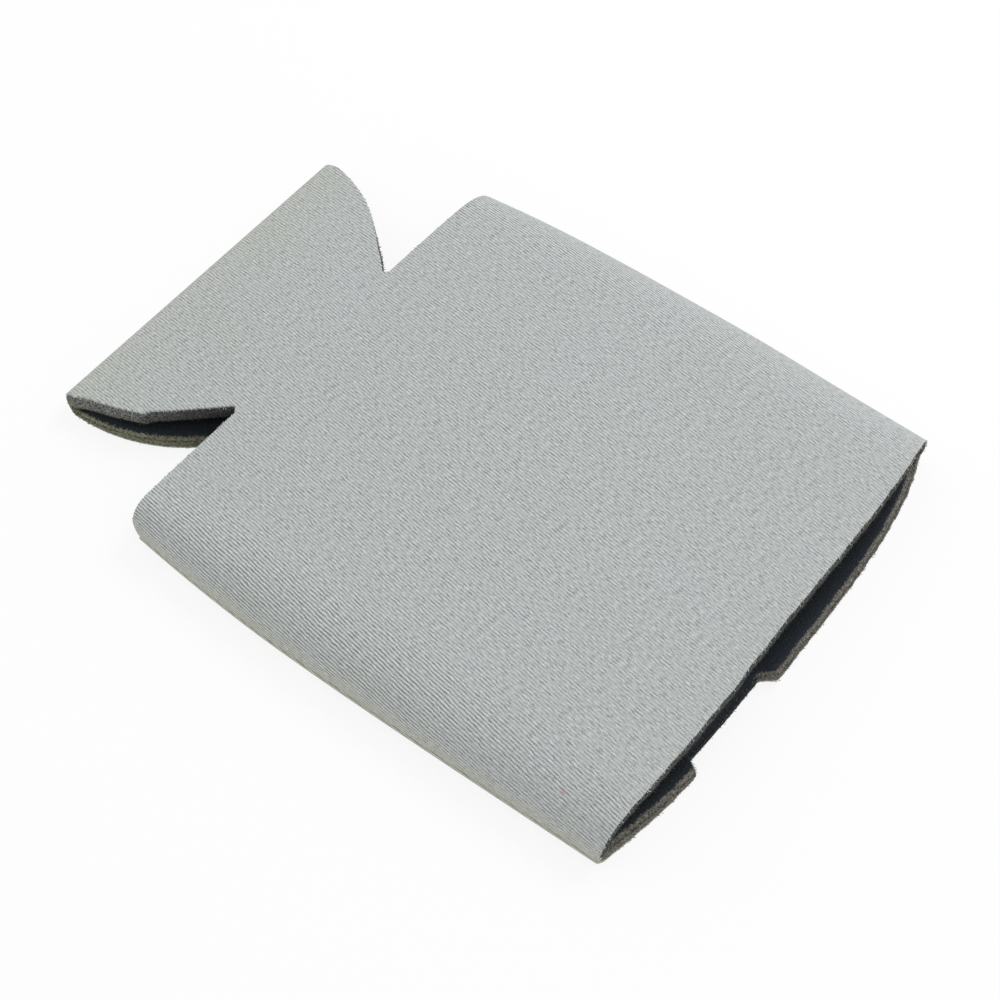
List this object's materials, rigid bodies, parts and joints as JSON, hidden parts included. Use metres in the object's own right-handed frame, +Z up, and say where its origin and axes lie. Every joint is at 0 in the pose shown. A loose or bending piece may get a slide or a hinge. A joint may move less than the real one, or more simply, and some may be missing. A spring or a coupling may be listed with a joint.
{
  "type": "can cooler sleeve",
  "caption": "Foam can cooler sleeve with a knit face, pressed flat: panels joined at the sides and by a round base folded in half, open at the mouth.",
  "frame": {"origin": "under the middle of the flat sleeve, on the surface that it lies on", "axes": "+X along the sleeve from the folded base to the mouth, +Y across it, +Z up through its thickness"},
  "size_m": [0.1336, 0.1018, 0.0109],
  "materials": {
    "knit_face": "pale grey fine-ribbed knit, matt",
    "foam_core": "dark grey open foam, rough and matt"
  },
  "bodies": {
    "root": {"folded_sleeve": "knit_face"}
  },
  "joints": []
}
